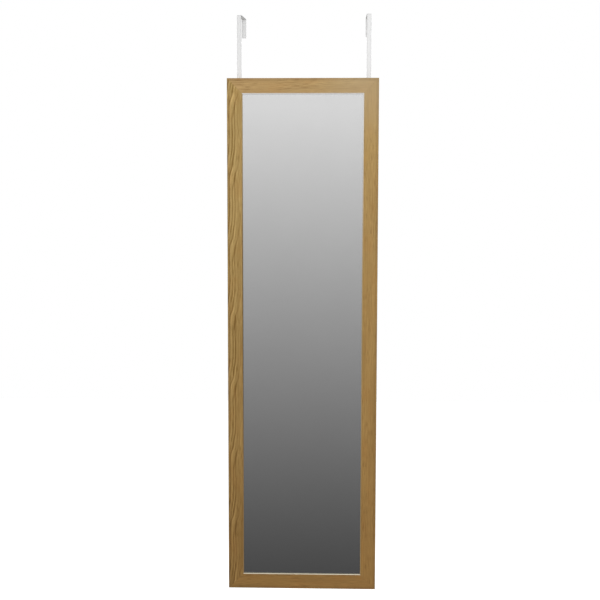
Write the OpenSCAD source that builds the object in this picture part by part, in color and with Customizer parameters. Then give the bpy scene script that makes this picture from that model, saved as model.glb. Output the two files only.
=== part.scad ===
// Over-the-door mirror: a mitred wood-effect frame whose rebate holds a mirror and its
// backing board, hung on the top edge of a door by two bent steel straps. Each strap has a
// slot behind the top rail, where two screws clamp it, so the mirror's height can be set.
//
// +X is to the right as you look into the mirror, +Y goes back into the door, +Z is up.
// The origin is on the door's top edge, midway across the frame, in the plane of the
// straps' back faces. All sizes are in millimetres.

/* [Frame] */
// Width over the two stiles
frame_w = 350; // [280:1:600]
// Height over the two rails
frame_h = 1205; // [700:5:1800]
// Width of the moulding's face
face_w = 36; // [33:0.5:60]
// Depth of the moulding from front to back
frame_d = 16; // [14:0.5:30]
// Width of the lip that covers the mirror's edge
lip_w = 8; // [5:0.5:10]
// Thickness of that lip
lip_t = 3; // [2.5:0.5:6]
// Width and depth of the bevel along the face's inner edge
inner_bevel = 1.8; // [0.5:0.1:2.4]
// Radius of the moulding's outer front edge
arris_r = 1; // [0.5:0.1:2]

/* [Mirror] */
// Thickness of the glass
glass_t = 2; // [2:0.5:5]
// Thickness of the silvering with its protective paint
coat_t = 0.1; // [0.05:0.05:0.4]
// Thickness of the backing board
board_t = 3; // [2:0.5:4]
// Gap around the mirror at the top and the sides of the rebate
edge_gap = 0.8; // [0.4:0.1:2]

/* [Corner nails] */
// Length of each wing of a V-shaped corner nail
nail_wing = 5; // [3:0.5:6]
// Thickness of its steel
nail_t = 0.6; // [0.4:0.1:1]
// Depth to which it is driven
nail_depth = 10; // [6:0.5:12]
// Angle between each wing and the mitre
nail_spread = 50; // [30:5:60]
// Distance of the outermost nail from the frame's outer faces
nail_first = 8; // [7:0.5:10]
// Distance from one nail to the next, across the face
nail_pitch = 9; // [7:0.5:10]
// Number of nails in each corner
nails_each = 2; // [1:1:2]
// Gap around a nail in the wood
nail_gap = 0.03; // [0.01:0.01:0.1]

/* [Glazing points] */
// Width of each flexible steel point
point_w = 8; // [5:0.5:12]
// Length of each point
point_l = 15; // [12:0.5:20]
// Thickness of each point
point_t = 0.4; // [0.2:0.05:0.8]
// Length driven into the rebate's wall
point_bite = 7; // [4:0.5:9]
// Number of points along each stile
stile_points = 7; // [3:1:12]
// Number of points along each rail
rail_points = 2; // [1:1:4]
// Gap around a point in the wood
point_gap = 0.03; // [0.01:0.01:0.1]

/* [Hooks] */
// Clear gap in each hook for the door's thickness
door_gap = 42; // [25:0.5:60]
// Width of the steel strap
strap_w = 10; // [8:0.5:13]
// Thickness of the steel strap
strap_t = 1.5; // [1:0.1:2.5]
// Height from the frame's top to the underside of a hook's bridge
hook_rise = 144; // [60:1:250]
// Length of the leg behind the door, below the bridge's underside
back_leg = 43; // [20:1:90]
// Inside radius of the strap's two bends
bend_r = 1.5; // [1:0.1:4]
// Radius of the corners at the strap's ends
strap_end_r = 1.5; // [0.5:0.1:3]
// Height above the frame where the strap's twist begins
twist_start = 12; // [6:1:30]
// Distance of the left hook from the frame's left side
left_inset = 27.5; // [23:0.5:80]
// Distance of the right hook from the frame's right side
right_inset = 23; // [23:0.5:80]
// Angle in degrees that the left hook's top is twisted inwards
left_twist = 10; // [0:0.5:15]
// Angle in degrees that the right hook's top is twisted inwards
right_twist = 1.5; // [0:0.5:15]
// Height at which the right hook is clamped above the left one
right_lift = 2.5; // [0:0.1:5]

/* [Hook slots] */
// Travel of a hook down from where it is clamped
slide_down = 3; // [1:0.5:4]
// Travel of a hook up from where it is clamped
slide_up = 30; // [10:1:60]
// Gap between a screw's shank and the slot
slot_gap = 0.35; // [0.2:0.05:0.6]
// Length of strap left below the slot
strap_tail = 6; // [3:0.5:15]
// Running gap on each face of the strap, at the frame and under the screw heads
slide_gap = 0.05; // [0.02:0.01:0.2]

/* [Hook screws] */
// Radius of the shank
screw_r = 2; // [1.5:0.1:2.5]
// Length under the head
screw_l = 12; // [8:0.5:14]
// Length of the tapered tip
screw_tip = 3.5; // [2:0.5:5]
// Radius of the wafer head
screw_head_r = 4.5; // [3.5:0.1:4.8]
// Thickness of the head at its rim
screw_rim_t = 0.7; // [0.4:0.1:1]
// Thickness of the head at its middle
screw_head_t = 1.8; // [1.3:0.1:2.5]
// Radius of the head's flat top
screw_top_r = 3; // [2.6:0.1:3.4]
// Distance between the two screws of a hook
screw_pitch = 12; // [10:0.5:14]
// Width of each bar of the cross recess
cross_w = 1; // [0.8:0.1:1.4]
// Length of each bar of the cross recess
cross_l = 4.2; // [3:0.1:5]
// Depth of the cross recess
cross_depth = 1.1; // [0.6:0.1:1.6]
// Gap between a screw's shank and its hole in the wood
thread_gap = 0.05; // [0.02:0.01:0.2]

/* [Door bumpers] */
// Radius of each round bumper
bumper_r = 6; // [4:0.5:7]
// Thickness of each bumper
bumper_t = 3.5; // [2:0.25:8]
// Bevel around each bumper's door face
bumper_bevel = 0.8; // [0.2:0.1:1.5]
// Distance of each bumper's centre from the frame's outer faces
bumper_inset = 11; // [8:0.5:11.5]

/* [Hidden] */

$fn = 48;
// How far a cutting shape runs past what it cuts
over = 1;

// The frame's faces. The straps' back faces are at y = 0.
frame_back = -strap_t - slide_gap;
frame_front = frame_back - frame_d;
frame_top = -hook_rise;
frame_bottom = frame_top - frame_h;
frame_middle = (frame_top + frame_bottom) / 2;
half_w = frame_w / 2;

// The rebate: the moulding behind the lip is a wall of this width
wall_w = face_w - lip_w;
rebate_w = frame_w - 2 * wall_w;
rebate_h = frame_h - 2 * wall_w;
rebate_floor = frame_bottom + wall_w;

// What lies in the rebate, from front to back
glass_front = frame_front + lip_t;
coat_front = glass_front + glass_t;
board_front = coat_front + coat_t;
board_back = board_front + board_t;
mirror_w = rebate_w - 2 * edge_gap;
mirror_h = rebate_h - edge_gap;

// The two screws of each hook are centred on the wall of the top rail
upper_screw_z = frame_top - wall_w / 2 + screw_pitch / 2;
lower_screw_z = upper_screw_z - screw_pitch;
slot_r = screw_r + slot_gap;
slot_top_z = upper_screw_z + slide_down;
slot_bottom_z = lower_screw_z - slide_up;
strap_bottom_z = slot_bottom_z - slot_r - strap_tail;

left_hook_x = -half_w + left_inset;
right_hook_x = half_w - right_inset;

// Angles that turn a piece from the frame's top left corner, or its top side, to another
// one, clockwise as seen from the front
TOP_LEFT = 0;
TOP_RIGHT = 90;
BOTTOM_RIGHT = 180;
BOTTOM_LEFT = 270;
TOP_SIDE = 0;
RIGHT_SIDE = 90;
BOTTOM_SIDE = 180;
LEFT_SIDE = 270;
// Direction of the top left mitre, from the inside out to the corner
MITRE_OUT = 135;
// Steps in which a strap's twist is made
TWIST_STEPS = 12;
// A twisted strip narrows by a hair: by this much at each edge and on each face
TWIST_NECK = 0.02;
// Length of the twisted strip's ends inside the straight strap
TWIST_BITE = 0.05;

OAK = [0.67, 0.54, 0.35];
OAK_STREAKED = [0.62, 0.49, 0.30];
OAK_LOWER = [0.54, 0.41, 0.25];
GLASS = [0.72, 0.76, 0.77];
SILVER = [0.80, 0.82, 0.83];
BOARD = [0.47, 0.33, 0.21];
STEEL = [0.66, 0.67, 0.69];
ZINC = [0.78, 0.77, 0.72];
WHITE_PAINT = [0.93, 0.93, 0.93];
RUBBER = [0.86, 0.87, 0.87];

// ---- Helpers ----

// Turns an outline drawn in x and z into a plate that runs from y = 0 back to y = depth
module plate(depth) {
    translate([0, depth, 0]) rotate([90, 0, 0]) linear_extrude(depth) children();
}

// Turns a section drawn in y and z into a bar along x, centred on x = 0
module bar(length) {
    rotate([90, 0, 90]) linear_extrude(length, center = true) children();
}

// Turns a piece made along +z so that it points back, along +y
module facing_back() {
    rotate([-90, 0, 0]) children();
}

// Moves a piece from the top left corner of the frame's back to one of its corners
module at_corner(corner) {
    side = (corner == TOP_LEFT || corner == BOTTOM_LEFT) ? -half_w : half_w;
    level = (corner == TOP_LEFT || corner == TOP_RIGHT) ? frame_top : frame_bottom;
    translate([side, frame_back, level]) rotate([0, corner, 0]) children();
}

// ---- Frame ----

// Waste outside a rounded edge, for an edge at the origin with the wood at +x and -y
module arris_waste() {
    difference() {
        translate([-over, -arris_r]) square(arris_r + over);
        translate([arris_r, -arris_r]) circle(arris_r);
    }
}

// Waste in front of a bevel, for an edge at the origin with the wood at +x and +y
module bevel_waste() {
    reach = inner_bevel + over;
    polygon([[-over, -over], [reach, -over], [-over, reach]]);
}

// Section of the moulding: x from front to back, y = 0 at the outer face
module moulding_section() {
    difference() {
        translate([0, -face_w]) square([frame_d, face_w]);
        translate([lip_t, -face_w - over]) square([frame_d, lip_w + over]);
        arris_waste();
        translate([0, -face_w]) bevel_waste();
    }
}

// Outline of a mitred length seen from the front, a little larger than the moulding
module mitre_outline(length) {
    inner = length / 2 - face_w - over;
    outer = length / 2 + over;
    polygon([[-outer, over], [outer, over], [inner, -face_w - over], [-inner, -face_w - over]]);
}

// A mitred length with its outer face up, at z = 0, and its front at y = 0
module mitred_length(length) {
    intersection() {
        bar(length + 2 * over) moulding_section();
        translate([0, -over, 0]) plate(frame_d + 2 * over) mitre_outline(length);
    }
}

// A mitred length without the places of what is driven into it
module drilled() {
    difference() {
        children();
        for (corner = [TOP_LEFT, TOP_RIGHT, BOTTOM_RIGHT, BOTTOM_LEFT])
            corner_nails(corner, nail_gap);
        for (side = [TOP_SIDE, BOTTOM_SIDE]) point_row(rail_points, rebate_w, side, point_gap);
        for (side = [RIGHT_SIDE, LEFT_SIDE]) point_row(stile_points, rebate_h, side, point_gap);
        for (x = [left_hook_x, right_hook_x], z = [upper_screw_z, lower_screw_z])
            translate([x, slide_gap, z]) facing_back() screw_hole();
    }
}

module top_rail() {
    color(OAK) drilled()
        translate([0, frame_front, frame_top]) mitred_length(frame_w);
}

module bottom_rail() {
    color(OAK_LOWER) drilled()
        translate([0, frame_front, frame_bottom]) rotate([0, 180, 0]) mitred_length(frame_w);
}

module left_stile() {
    color(OAK_STREAKED) drilled()
        translate([-half_w, frame_front, frame_middle]) rotate([0, -90, 0]) mitred_length(frame_h);
}

module right_stile() {
    color(OAK) drilled()
        translate([half_w, frame_front, frame_middle]) rotate([0, 90, 0]) mitred_length(frame_h);
}

// One V-shaped nail across the mitre, or with a gap around it the slot that it cuts: its
// point is at the origin and its wings open towards the frame's outer corner
module v_nail_outline(gap) {
    for (turn = [-nail_spread, nail_spread])
        rotate(MITRE_OUT + turn)
            translate([-gap, -nail_t / 2 - gap]) square([nail_wing + 2 * gap, nail_t + 2 * gap]);
}

// The nails of one corner, driven in flush with the frame's back
module corner_nails(corner, gap = 0) {
    depth = nail_depth + gap;
    at_corner(corner)
        for (i = [0:nails_each - 1]) {
            inset = nail_first + i * nail_pitch;
            translate([inset, -depth, -inset]) plate(depth + gap) v_nail_outline(gap);
        }
}

module top_left_nails() { color(STEEL) corner_nails(TOP_LEFT); }
module top_right_nails() { color(STEEL) corner_nails(TOP_RIGHT); }
module bottom_right_nails() { color(STEEL) corner_nails(BOTTOM_RIGHT); }
module bottom_left_nails() { color(STEEL) corner_nails(BOTTOM_LEFT); }

// ---- Mirror and backing ----

// A pane that fills the rebate and stands on its floor
module pane(front, thickness) {
    translate([-mirror_w / 2, front, rebate_floor]) cube([mirror_w, thickness, mirror_h]);
}

module mirror_glass() { color(GLASS) pane(glass_front, glass_t); }
module mirror_silvering() { color(SILVER) pane(coat_front, coat_t); }
module backing_board() { color(BOARD) pane(board_front, board_t); }

// One flexible point, driven up into a wall at z = 0 and lying down over the board, or
// with a gap around it the slot that it cuts
module point_outline(gap) {
    free = point_l - point_bite;
    radius = point_w / 2 + gap;
    translate([-radius, point_w / 2 - free]) square([2 * radius, point_l - point_w / 2 + gap]);
    translate([0, point_w / 2 - free]) circle(radius);
}

// A row of points along one side of the rebate, evenly spaced, flat on the board's back
module point_row(count, length, side, gap = 0) {
    reach = (side == TOP_SIDE || side == BOTTOM_SIDE) ? rebate_h / 2 : rebate_w / 2;
    pitch = length / count;
    translate([0, board_back - gap, frame_middle]) rotate([0, side, 0])
        for (i = [0:count - 1])
            translate([(i + 0.5) * pitch - length / 2, 0, reach])
                plate(point_t + 2 * gap) point_outline(gap);
}

module top_points() { color(ZINC) point_row(rail_points, rebate_w, TOP_SIDE); }
module bottom_points() { color(ZINC) point_row(rail_points, rebate_w, BOTTOM_SIDE); }
module right_points() { color(ZINC) point_row(stile_points, rebate_h, RIGHT_SIDE); }
module left_points() { color(ZINC) point_row(stile_points, rebate_h, LEFT_SIDE); }

// ---- Hooks ----

// Outline of a strap's end that hangs down to z = bottom, with rounded corners
module strap_outline(top, bottom) {
    corner_x = strap_w / 2 - strap_end_r;
    translate([-strap_w / 2, bottom + strap_end_r])
        square([strap_w, top - bottom - strap_end_r]);
    translate([-corner_x, bottom]) square([2 * corner_x, strap_end_r + over]);
    for (x = [-corner_x, corner_x]) translate([x, bottom + strap_end_r]) circle(strap_end_r);
}

module slot_outline() {
    for (z = [slot_top_z, slot_bottom_z]) translate([0, z]) circle(slot_r);
    translate([-slot_r, slot_bottom_z]) square([2 * slot_r, slot_top_z - slot_bottom_z]);
}

// Quarter of a ring: the strap's section where it bends, curving from +y up to +z
module bend_section() {
    intersection() {
        difference() {
            circle(bend_r + strap_t);
            circle(bend_r);
        }
        square(bend_r + strap_t);
    }
}

// Section of the strap's bent top: front bend, bridge and rear bend over the door, then the
// back leg, which runs on past its end. The front leg's middle is at x = 0 and the
// bridge's underside is at y = 0.
module hook_section() {
    near_x = strap_t / 2 + bend_r;
    far_x = strap_t / 2 + door_gap - bend_r;
    translate([near_x, -bend_r]) mirror([1, 0]) bend_section();
    translate([near_x, 0]) square([far_x - near_x, strap_t]);
    translate([far_x, -bend_r]) bend_section();
    translate([far_x + bend_r, -back_leg - over]) square([strap_t, back_leg + over - bend_r]);
}

// The strap's bent top, with the front leg's middle at y = 0 and the bridge's underside at
// z = 0: its section, as wide as the strap and rounded off at the back leg's end
module hook_top() {
    intersection() {
        bar(strap_w + 2 * over) hook_section();
        translate([0, -strap_t, 0]) plate(door_gap + 3 * strap_t)
            strap_outline(strap_t + over, -back_leg);
    }
}

// A whole hook. Its flat leg lies behind the frame, the free length twists, and the
// top is turned as one.
module hook(twist) {
    twist_bottom_z = frame_top + twist_start;
    twist_length = -bend_r - twist_bottom_z + 2 * TWIST_BITE;
    translate([0, -strap_t / 2, 0]) plate(strap_t)
        difference() {
            strap_outline(twist_bottom_z, strap_bottom_z);
            slot_outline();
        }
    translate([0, 0, twist_bottom_z - TWIST_BITE])
        linear_extrude(twist_length, twist = -twist, slices = TWIST_STEPS, segments = 4)
            square([strap_w - 2 * TWIST_NECK, strap_t - 2 * TWIST_NECK], center = true);
    rotate([0, 0, twist]) hook_top();
}

module left_hook() {
    color(WHITE_PAINT) translate([left_hook_x, -strap_t / 2, 0]) hook(-left_twist);
}

module right_hook() {
    color(WHITE_PAINT) translate([right_hook_x, -strap_t / 2, right_lift]) hook(right_twist);
}

// A wafer-head screw along z, with the underside of its head at z = 0
module hook_screw() {
    difference() {
        rotate_extrude()
            polygon([
                [0, -screw_l], [screw_r, -screw_l + screw_tip], [screw_r, 0],
                [screw_head_r, 0], [screw_head_r, screw_rim_t],
                [screw_top_r, screw_head_t], [0, screw_head_t]
            ]);
        for (turn = [0, 90])
            rotate(turn) translate([-cross_l / 2, -cross_w / 2, screw_head_t - cross_depth])
                cube([cross_l, cross_w, cross_depth + over]);
    }
}

// The hole that the screw's shank fills in the wood
module screw_hole() {
    rotate_extrude()
        polygon([
            [0, -screw_l - thread_gap], [screw_r + thread_gap, -screw_l + screw_tip],
            [screw_r + thread_gap, 0], [0, 0]
        ]);
}

// The two screws of a hook, at the heights that the top rail sets
module screw_pair(x) {
    for (z = [upper_screw_z, lower_screw_z])
        translate([x, slide_gap, z]) facing_back() hook_screw();
}

module left_hook_screws() { color(ZINC) screw_pair(left_hook_x); }
module right_hook_screws() { color(ZINC) screw_pair(right_hook_x); }

// ---- Door bumpers ----

module bumper() {
    rotate_extrude()
        polygon([
            [0, 0], [bumper_r, 0], [bumper_r, bumper_t - bumper_bevel],
            [bumper_r - bumper_bevel, bumper_t], [0, bumper_t]
        ]);
}

module bumper_at(corner) {
    at_corner(corner) translate([bumper_inset, 0, -bumper_inset]) facing_back() bumper();
}

module upper_bumpers() {
    color(RUBBER) for (corner = [TOP_LEFT, TOP_RIGHT]) bumper_at(corner);
}

module lower_bumpers() {
    color(RUBBER) for (corner = [BOTTOM_RIGHT, BOTTOM_LEFT]) bumper_at(corner);
}

top_rail();
bottom_rail();
left_stile();
right_stile();
top_left_nails();
top_right_nails();
bottom_right_nails();
bottom_left_nails();
mirror_glass();
mirror_silvering();
backing_board();
top_points();
bottom_points();
left_points();
right_points();
left_hook();
right_hook();
left_hook_screws();
right_hook_screws();
upper_bumpers();
lower_bumpers();
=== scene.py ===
# %% [markdown]
# # A tall mirror that hangs over a door
#
# The real thing is a flat, mitred frame in oak-look foil with a plain mirror in it. Two bent
# steel straps reach up behind it and hook over the top edge of a door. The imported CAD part
# already holds every solid in its true place, so this file gives each piece its finish, adds
# what is too fine for the solids, and sets up the light and the camera.
#
# Everything is in metres, with +X to the right as you look into the mirror, +Y back into the
# door and +Z up. The part is loaded first, because all sizes below are read from its nodes.

import math

import bpy
from mathutils import Matrix, Vector


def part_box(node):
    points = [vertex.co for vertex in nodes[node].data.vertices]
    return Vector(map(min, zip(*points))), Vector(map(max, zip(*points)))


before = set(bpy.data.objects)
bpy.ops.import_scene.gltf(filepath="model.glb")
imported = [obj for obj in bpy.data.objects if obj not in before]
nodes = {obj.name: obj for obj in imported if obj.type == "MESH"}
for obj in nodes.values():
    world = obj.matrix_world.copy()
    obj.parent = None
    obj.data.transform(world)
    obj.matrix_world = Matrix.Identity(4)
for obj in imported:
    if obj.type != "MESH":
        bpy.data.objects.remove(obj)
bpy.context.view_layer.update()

# %% [markdown]
# ## The sizes that the finishes need
#
# The grain runs along each length of moulding and the figure starts at a corner, so the
# finishes are laid out in millimetres from the frame's own edges. Those edges could be typed
# in, but a typed size goes wrong as soon as the part changes. So they are read from the boxes
# of the pieces, and the width of the flat face from the corners of the top rail's front.

# %% The frame's edges
MM = 0.001
TOUCHING = 0.01 * MM

left_low, left_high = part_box("left_stile")
right_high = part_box("right_stile")[1]
top_low, top_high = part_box("top_rail")
glass_low, glass_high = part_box("mirror_glass")

frame_left, frame_right = left_low.x, right_high.x
frame_top, frame_bottom = top_high.z, left_low.z
frame_front, frame_back = top_low.y, top_high.y
face_width = left_high.x - left_low.x
lip_depth = glass_low.y - frame_front
front_corners = [v.co.z for v in nodes["top_rail"].data.vertices
                 if v.co.y < frame_front + TOUCHING]
flat_width = frame_top - min(front_corners)
print(f"frame {(frame_right - frame_left) / MM:.0f} x {(frame_top - frame_bottom) / MM:.0f} mm,")
print(f"face {face_width / MM:.1f} mm wide, {flat_width / MM:.1f} mm of it up to its inner bevel,")
print(f"lip {lip_depth / MM:.1f} mm deep")

# %% [markdown]
# ## The camera
#
# The photograph was taken square on, from 2.2 m away and a little above the frame's middle.
# Such a place can be guessed and nudged, but the frame's eight corners fix it: a camera was
# fitted to them, which gave its place, its three angles and a focal length of 950 pixels in a
# picture 600 pixels wide. A Blender camera looks down its own -Z, so it is first stood up to
# look along +Y and then turned.

# %% The camera at the photograph's place
PHOTO_PIXELS = 600
FOCAL_PIXELS = 950.0
SENSOR_WIDTH = 36.0
CAMERA_PLACE = Vector((0.0541, -2.2308, -0.4776))
CAMERA_YAW = 1.543
CAMERA_PITCH = -4.590
CAMERA_ROLL = -0.104


def turned(angle, axis):
    """A turn by so many degrees about X, Y or Z."""
    return Matrix.Rotation(math.radians(angle), 4, axis)


camera_data = bpy.data.cameras.new("camera")
camera_data.sensor_width = SENSOR_WIDTH
camera_data.lens = FOCAL_PIXELS * SENSOR_WIDTH / PHOTO_PIXELS
camera = bpy.data.objects.new("camera", camera_data)
bpy.context.scene.collection.objects.link(camera)
bpy.context.scene.camera = camera
stood_up = turned(90, "X")
aim = turned(CAMERA_YAW, "Z") @ turned(CAMERA_PITCH, "X") @ turned(CAMERA_ROLL, "Y")
camera.matrix_world = Matrix.Translation(CAMERA_PLACE) @ aim @ stood_up
print(f"lens {camera_data.lens:.1f} mm")

# %% [markdown]
# ## Small helpers for shader nodes
#
# Every finish below is a net of nodes: a few noises, masks and colours that are worked out
# anew at each point of the surface. Such a net can be clicked together in the editor, or
# written node by node, which takes pages. Here each helper adds one node, sets its sockets by
# name and gives back its output, so that a finish reads like a sum. A value that is a number is
# typed into the socket, and one that is another node's output is linked to it.

# %% Adding a node and setting its sockets
def fill(tree, socket, value):
    """Types a number or colour into a socket, or links another node's output to it."""
    if isinstance(value, bpy.types.NodeSocket):
        tree.links.new(value, socket)
    elif value is not None:
        socket.default_value = value


def add(tree, kind, settings=None, **sockets):
    """A new node of this kind, with its settings and its input sockets filled."""
    node = tree.nodes.new(kind)
    for name, value in (settings or {}).items():
        setattr(node, name, value)
    for name, value in sockets.items():
        fill(tree, node.inputs[name.replace("_", " ")], value)
    return node


def math_node(tree, operation, *values):
    """One sum, such as MULTIPLY_ADD, of up to three values."""
    node = tree.nodes.new("ShaderNodeMath")
    node.operation = operation
    for socket, value in zip(node.inputs, values):
        fill(tree, socket, value)
    return node.outputs[0]


def either(tree, share, first, second):
    """The first shader where share is 0, and the second where it is 1."""
    node = tree.nodes.new("ShaderNodeMixShader")
    for socket, source in zip(node.inputs, (share, first, second)):
        tree.links.new(source, socket)
    return node.outputs[0]


bpy.context.scene.view_settings.view_transform = "Standard"
print("colours are shown as", bpy.context.scene.view_settings.view_transform)

# %% [markdown]
# ## The room that the mirror shows
#
# A mirror has no colour of its own: the soft fall from light to dark in the photograph is the
# studio in front of it, pale above and dim towards the ground. Painting that fall onto the
# glass would go wrong as soon as the camera moves, so it belongs in the world, whose
# brightness depends on how high a ray climbs. In the photograph the mirror's tone drops evenly
# from 214 at its top, where a reflected ray climbs 7 degrees, to 73 at its bottom, where it
# falls by 21. That even fall is the wall's line below, in tones between 0 and 1. The
# photograph shows nothing beyond those angles. There the ceiling dims a little overhead and
# the ground turns paler again, so that the mirror still looks like one from above.
#
# The camera itself sees plain white behind the part, as in the photograph.

# %% The room's tone, by how high a ray climbs
WALL_TONE = 0.722
WALL_PER_CLIMB = 1.20
GROUND_TONE = -0.14
GROUND_PER_CLIMB = -0.90
GROUND_BLEND = 0.2
CEILING_TONE = 0.94
CEILING_PER_CLIMB = -0.50
CEILING_BLEND = 0.05
TONE_GAMMA = 2.2

world = bpy.data.worlds.new("studio")
bpy.context.scene.world = world
world.use_nodes = True
room = world.node_tree
room.nodes.clear()
ray = room.nodes.new("ShaderNodeTexCoord").outputs["Generated"]
climb = add(room, "ShaderNodeSeparateXYZ", Vector=ray).outputs["Z"]
wall = math_node(room, "MULTIPLY_ADD", climb, WALL_PER_CLIMB, WALL_TONE)
ground = math_node(room, "MULTIPLY_ADD", climb, GROUND_PER_CLIMB, GROUND_TONE)
ceiling = math_node(room, "MULTIPLY_ADD", climb, CEILING_PER_CLIMB, CEILING_TONE)
tone = math_node(room, "SMOOTH_MAX", wall, ground, GROUND_BLEND)
tone = math_node(room, "SMOOTH_MIN", tone, ceiling, CEILING_BLEND)
room_light = math_node(room, "POWER", tone, TONE_GAMMA)
print("the room's tone at eye level:", WALL_TONE)

# %% The room for the mirror, and white for the camera
WHITE = (1.0, 1.0, 1.0, 1.0)

studio = add(room, "ShaderNodeBackground", Color=room_light, Strength=1.0)
backdrop = add(room, "ShaderNodeBackground", Color=WHITE, Strength=1.0)
from_camera = room.nodes.new("ShaderNodeLightPath").outputs["Is Camera Ray"]
world_shader = either(room, from_camera, studio.outputs[0], backdrop.outputs[0])
world_output = room.nodes.new("ShaderNodeOutputWorld")
room.links.new(world_shader, world_output.inputs["Surface"])
print("world nodes:", len(room.nodes))

# %% [markdown]
# ## Floor and lamps
#
# The mirror hangs on a door, so the floor is where a door of 2.03 m puts it, well below the
# frame. It is pale and matt. The camera sees it as white, like the rest of the background. The
# mirror looks through it into the room, because a floor that shows up in the glass would end
# the even fall of tone.
#
# In the photograph the frame's foot sends back little more than half as much light as its
# top. One lamp high above could do that, but it would leave the top rail's lip in the dark, and
# the photograph shows it bright. So the lamp is large, soft and only a little above the frame.
# Lamp and room together give the foot a good fifth less light than the top, and the rest is
# painted shade in the foil's colours: partly in the bottom rail's deeper oak and in the stiles'
# darkening towards the foot. A second lamp like it lights the back. Both are kept out of
# reflections.

# %% The floor
DOOR_HEIGHT = 2.03
FLOOR_REACH = 6.0

floor_mesh = bpy.data.meshes.new("floor")
corners = [(x * FLOOR_REACH, y * FLOOR_REACH, -DOOR_HEIGHT)
           for x, y in ((-1, -1), (1, -1), (1, 1), (-1, 1))]
floor_mesh.from_pydata(corners, [], [(0, 1, 2, 3)])
floor = bpy.data.objects.new("floor", floor_mesh)
bpy.context.scene.collection.objects.link(floor)
print(f"floor at {-DOOR_HEIGHT} m, {2 * FLOOR_REACH:.0f} m wide")

# %% The floor's finish
FLOOR_COLOUR = (0.80, 0.80, 0.79, 1.0)
FLOOR_GLOW = 0.85


def new_material(name):
    """An empty node material, its tree of nodes and its output node."""
    material = bpy.data.materials.new(name)
    material.use_nodes = True
    tree = material.node_tree
    tree.nodes.clear()
    return material, tree, tree.nodes.new("ShaderNodeOutputMaterial")


floor_material, tree, output = new_material("pale_floor")
rays = tree.nodes.new("ShaderNodeLightPath").outputs
matt = add(tree, "ShaderNodeBsdfDiffuse", Color=FLOOR_COLOUR, Roughness=0.5)
glow_strength = math_node(tree, "MULTIPLY", rays["Is Camera Ray"], FLOOR_GLOW)
glow = add(tree, "ShaderNodeEmission", Color=WHITE, Strength=glow_strength)
both = tree.nodes.new("ShaderNodeAddShader")
tree.links.new(matt.outputs[0], both.inputs[0])
tree.links.new(glow.outputs[0], both.inputs[1])
mirrored = math_node(tree, "MAXIMUM", rays["Is Glossy Ray"], rays["Is Transmission Ray"])
clear = tree.nodes.new("ShaderNodeBsdfTransparent")
floor_shader = either(tree, mirrored, both.outputs[0], clear.outputs[0])
tree.links.new(floor_shader, output.inputs["Surface"])
floor_mesh.materials.append(floor_material)
print("floor nodes:", len(tree.nodes))

# %% The lamps
LAMP_SIZE = (1.6, 1.1)
LAMP_POWER = 26.0
LAMP_ASIDE = 0.25
LAMP_AWAY = 1.9
LAMP_UP = 0.15
LAMP_TARGET = Vector((0.0, 0.0, -0.45))


def softbox(name, place):
    """A rectangular soft lamp that faces the frame and keeps out of reflections."""
    data = bpy.data.lights.new(name, "AREA")
    data.shape = "RECTANGLE"
    data.size, data.size_y = LAMP_SIZE
    data.energy = LAMP_POWER
    lamp = bpy.data.objects.new(name, data)
    lamp.location = place
    lamp.rotation_mode = "QUATERNION"
    towards = LAMP_TARGET - Vector(place)
    lamp.rotation_quaternion = towards.to_track_quat("-Z", "Y")
    lamp.visible_glossy = False
    lamp.visible_transmission = False
    lamp.visible_camera = False
    bpy.context.scene.collection.objects.link(lamp)
    print(f"{name}: {LAMP_POWER} W, {towards.length:.2f} m away")


softbox("front_lamp", (LAMP_ASIDE, -LAMP_AWAY, LAMP_UP))
softbox("back_lamp", (-LAMP_ASIDE, LAMP_AWAY, LAMP_UP))

# %% [markdown]
# ## Oak foil: one sheet, wrapped round each length
#
# The frame isn't solid oak. Each length is board with a printed foil wrapped round its front,
# its outer side and its lip, a little way onto the back, and glued down. So the grain runs
# along every length and turns at the mitres, and the print carries on over the edges. A wood
# texture placed in space would show end grain there. Instead each finish first works out three
# distances in millimetres: along the length from its corner, across the face from the outer
# edge, and back from the front. Folding the depth onto the distance across unrolls the foil
# flat again.

# %% Distances on a length of moulding
FACE = face_width / MM
FLAT = flat_width / MM
LIP = lip_depth / MM
DEPTH = (frame_back - frame_front) / MM
WALL = (top_high.z - glass_high.z) / MM
FRAME_W = (frame_right - frame_left) / MM
FRAME_H = (frame_top - frame_bottom) / MM

# For each length: where the distances along it and across it start and which way they run,
# and how long it is
LENGTHS = {
    "top_rail": (("X", frame_left, 1), ("Z", frame_top, -1), FRAME_W),
    "bottom_rail": (("X", frame_left, 1), ("Z", frame_bottom, 1), FRAME_W),
    "left_stile": (("Z", frame_top, -1), ("X", frame_left, 1), FRAME_H),
    "right_stile": (("Z", frame_top, -1), ("X", frame_right, -1), FRAME_H),
}


def object_place(tree):
    """The place of a point on the surface, in metres, in the part's own frame."""
    return tree.nodes.new("ShaderNodeTexCoord").outputs["Object"]


def axes_of(tree, place):
    """That place as separate X, Y and Z."""
    return add(tree, "ShaderNodeSeparateXYZ", Vector=place).outputs


def millimetres(tree, axes, axis, start, sign=1):
    """Distance in millimetres from start along an axis, or against it."""
    return math_node(tree, "MULTIPLY_ADD", axes[axis], sign / MM, -start * sign / MM)


def foil_place(tree, place, length):
    """Distances along, across and back, and the distance across the unrolled foil."""
    axes = axes_of(tree, place)
    along_from, across_from, _ = LENGTHS[length]
    along = millimetres(tree, axes, *along_from)
    across = millimetres(tree, axes, *across_from)
    back = millimetres(tree, axes, "Y", frame_front)
    side = math_node(tree, "SIGN", math_node(tree, "SUBTRACT", across, FACE / 2))
    unrolled = math_node(tree, "MULTIPLY_ADD", back, side, across)
    return along, across, back, unrolled


print(f"face {FACE:.1f}, lip {LIP:.1f}, depth {DEPTH:.1f}, wall {WALL:.1f}")

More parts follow.
